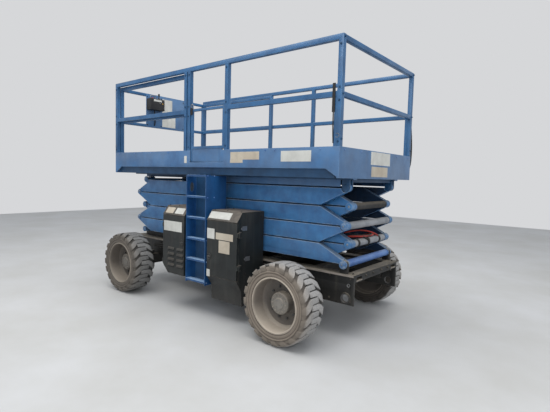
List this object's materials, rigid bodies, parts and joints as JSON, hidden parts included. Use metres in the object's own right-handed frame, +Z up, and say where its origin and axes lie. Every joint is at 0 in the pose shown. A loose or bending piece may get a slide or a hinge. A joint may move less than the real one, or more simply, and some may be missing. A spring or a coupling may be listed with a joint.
{
  "type": "scissor lift",
  "caption": "Large rough-terrain scissor lift, folded, with four stacked arm stages, railed platform, roll-out deck and four lugged wheels.",
  "frame": {"origin": "on the floor under the middle of the machine, midway between the axles", "axes": "+X towards the end with the fixed scissor pins, -X the steered end with the roll-out deck, -Y the ladder side, +Z up"},
  "size_m": [3.98, 2.31, 3.045],
  "materials": {
    "blue_paint": "weathered mid-blue enamel",
    "arm_paint": "weathered mid-blue enamel with grease and dust",
    "black_paint": "dusty black enamel",
    "box_paint": "dusty dark grey-green enamel",
    "tyre": "dusty solid-fill rubber",
    "rim_paint": "dusty light grey enamel",
    "bright_rod": "hard chrome",
    "barrel_paint": "black enamel",
    "engine_iron": "cast",
    "control_plastic": "moulded"
  },
  "bodies": {
    "chassis": {"chassis_frame": "black_paint", "front_axle": "black_paint", "rear_axle": "black_paint", "ladder": "blue_paint", "near_front_box": "box_paint", "near_rear_box": "box_paint", "far_engine_box": "box_paint", "engine_block": "engine_iron"},
    "near_front_door": {"near_front_door": "box_paint"},
    "near_rear_door": {"near_rear_door": "box_paint"},
    "far_engine_door": {"far_engine_door": "box_paint"},
    "near_knuckle": {"near_knuckle": "black_paint"},
    "far_knuckle": {"far_knuckle": "black_paint"},
    "tie_rod": {"tie_rod": "bright_rod"},
    "front_near_wheel": {"front_near_tyre": "tyre", "front_near_rim": "rim_paint"},
    "front_far_wheel": {"front_far_tyre": "tyre", "front_far_rim": "rim_paint"},
    "rear_near_wheel": {"rear_near_tyre": "tyre", "rear_near_rim": "rim_paint"},
    "rear_far_wheel": {"rear_far_tyre": "tyre", "rear_far_rim": "rim_paint"},
    "stage1_outer": {"stage1_outer_arms": "arm_paint"},
    "stage1_inner": {"stage1_inner_arms": "arm_paint"},
    "stage2_inner": {"stage2_inner_arms": "arm_paint"},
    "stage2_outer": {"stage2_outer_arms": "arm_paint"},
    "stage3_outer": {"stage3_outer_arms": "arm_paint"},
    "stage3_inner": {"stage3_inner_arms": "arm_paint"},
    "stage4_inner": {"stage4_inner_arms": "arm_paint"},
    "stage4_outer": {"stage4_outer_arms": "arm_paint"},
    "lower_barrel": {"lower_lift_barrel": "barrel_paint"},
    "lower_rod": {"lower_lift_rod": "bright_rod"},
    "upper_barrel": {"upper_lift_barrel": "barrel_paint"},
    "upper_rod": {"upper_lift_rod": "bright_rod"},
    "platform": {"platform_deck": "blue_paint", "near_guard_rails": "blue_paint", "far_guard_rails": "blue_paint", "rear_guard_rails": "blue_paint"},
    "gate": {"entry_gate": "blue_paint"},
    "extension": {"extension_deck": "blue_paint", "near_extension_rails": "blue_paint", "far_extension_rails": "blue_paint", "front_guard_rails": "blue_paint", "control_panel": "blue_paint", "control_box": "control_plastic"}
  },
  "joints": [
    {"name": "lift", "type": "hinge", "parent": "chassis", "child": "stage1_outer", "pos_m": [1.86, 0, 0.815], "axis": [0, 1, 0], "range_deg": [0, 51.5]},
    {"name": "stage1_cross", "type": "hinge", "parent": "stage1_outer", "child": "stage1_inner", "pos_m": [0.01771, 0, 0.915], "axis": [0, 1, 0], "range_deg": [-103.5, 0]},
    {"name": "stage2_pins", "type": "hinge", "parent": "stage1_inner", "child": "stage2_inner", "pos_m": [1.86, 0, 1.015], "axis": [0, 1, 0], "range_deg": [0, 103.5]},
    {"name": "stage2_cross", "type": "hinge", "parent": "stage2_inner", "child": "stage2_outer", "pos_m": [0.01771, 0, 1.115], "axis": [0, 1, 0], "range_deg": [-103.5, 0]},
    {"name": "stage3_pins", "type": "hinge", "parent": "stage2_outer", "child": "stage3_outer", "pos_m": [1.86, 0, 1.215], "axis": [0, 1, 0], "range_deg": [0, 103.5]},
    {"name": "stage3_cross", "type": "hinge", "parent": "stage3_outer", "child": "stage3_inner", "pos_m": [0.01771, 0, 1.315], "axis": [0, 1, 0], "range_deg": [-103.5, 0]},
    {"name": "stage4_pins", "type": "hinge", "parent": "stage3_inner", "child": "stage4_inner", "pos_m": [1.86, 0, 1.415], "axis": [0, 1, 0], "range_deg": [0, 103.5]},
    {"name": "stage4_cross", "type": "hinge", "parent": "stage4_inner", "child": "stage4_outer", "pos_m": [0.01771, 0, 1.515], "axis": [0, 1, 0], "range_deg": [-103.5, 0]},
    {"name": "platform_pins", "type": "hinge", "parent": "stage4_outer", "child": "platform", "pos_m": [1.86, 0, 1.615], "axis": [0, 1, 0], "range_deg": [0, 52]},
    {"name": "lower_barrel_pin", "type": "hinge", "parent": "stage1_inner", "child": "lower_barrel", "pos_m": [-1.18229, 0, 0.885], "axis": [0, 1, 0], "range_deg": [-13.2, 0]},
    {"name": "lower_rod_slide", "type": "slide", "parent": "lower_barrel", "child": "lower_rod", "axis": [0.9967, 0, 0.0807], "range_m": [0, 1.35]},
    {"name": "upper_barrel_pin", "type": "hinge", "parent": "stage3_inner", "child": "upper_barrel", "pos_m": [-1.18229, 0, 1.285], "axis": [0, 1, 0], "range_deg": [-13.2, 0]},
    {"name": "upper_rod_slide", "type": "slide", "parent": "upper_barrel", "child": "upper_rod", "axis": [0.9967, 0, 0.0807], "range_m": [0, 1.35]},
    {"name": "near_steer", "type": "hinge", "parent": "chassis", "child": "near_knuckle", "pos_m": [-1.42, -0.76, 0.42], "axis": [0, 0, 1], "range_deg": [-28, 28]},
    {"name": "far_steer", "type": "hinge", "parent": "chassis", "child": "far_knuckle", "pos_m": [-1.42, 0.76, 0.42], "axis": [0, 0, 1], "range_deg": [-28.5, 28.5]},
    {"name": "tie_rod_slide", "type": "slide", "parent": "chassis", "child": "tie_rod", "axis": [0, 1, 0], "range_m": [-0.08, 0.08]},
    {"name": "front_near_spin", "type": "hinge", "parent": "near_knuckle", "child": "front_near_wheel", "pos_m": [-1.42, -0.995, 0.42], "axis": [0, 1, 0], "continuous": true},
    {"name": "front_far_spin", "type": "hinge", "parent": "far_knuckle", "child": "front_far_wheel", "pos_m": [-1.42, 0.995, 0.42], "axis": [0, 1, 0], "continuous": true},
    {"name": "rear_near_spin", "type": "hinge", "parent": "chassis", "child": "rear_near_wheel", "pos_m": [1.42, -0.995, 0.42], "axis": [0, 1, 0], "continuous": true},
    {"name": "rear_far_spin", "type": "hinge", "parent": "chassis", "child": "rear_far_wheel", "pos_m": [1.42, 0.995, 0.42], "axis": [0, 1, 0], "continuous": true},
    {"name": "near_front_door_hinge", "type": "hinge", "parent": "chassis", "child": "near_front_door", "pos_m": [-0.544, -1.0225, 0.8], "axis": [0, 0, -1], "range_deg": [0, 105]},
    {"name": "near_rear_door_hinge", "type": "hinge", "parent": "chassis", "child": "near_rear_door", "pos_m": [0.824, -1.0225, 0.7], "axis": [0, 0, 1], "range_deg": [0, 105]},
    {"name": "far_engine_door_hinge", "type": "hinge", "parent": "chassis", "child": "far_engine_door", "pos_m": [-0.544, 1.0225, 0.8], "axis": [0, 0, 1], "range_deg": [0, 100]},
    {"name": "gate_hinge", "type": "hinge", "parent": "platform", "child": "gate", "pos_m": [0.384, -0.865, 2.2], "axis": [0, 0, -1], "range_deg": [0, 88]},
    {"name": "deck_extension", "type": "slide", "parent": "platform", "child": "extension", "axis": [-1, 0, 0], "range_m": [0, 1.5]}
  ],
  "couplings": [
    {"joint": "stage1_cross", "follows": "lift", "ratio": -2},
    {"joint": "stage2_pins", "follows": "lift", "ratio": 2},
    {"joint": "stage2_cross", "follows": "lift", "ratio": -2},
    {"joint": "stage3_pins", "follows": "lift", "ratio": 2},
    {"joint": "stage3_cross", "follows": "lift", "ratio": -2},
    {"joint": "stage4_pins", "follows": "lift", "ratio": 2},
    {"joint": "stage4_cross", "follows": "lift", "ratio": -2},
    {"joint": "platform_pins", "follows": "lift", "ratio": 1},
    {"joint": "lower_barrel_pin", "follows": "lift", "ratio": -0.25018},
    {"joint": "lower_rod_slide", "follows": "lift", "m_per_rad": 1.4979},
    {"joint": "upper_barrel_pin", "follows": "lift", "ratio": -0.25018},
    {"joint": "upper_rod_slide", "follows": "lift", "m_per_rad": 1.4979},
    {"joint": "far_steer", "follows": "near_steer", "ratio": 1},
    {"joint": "tie_rod_slide", "follows": "near_steer", "m_per_rad": -0.15371}
  ]
}
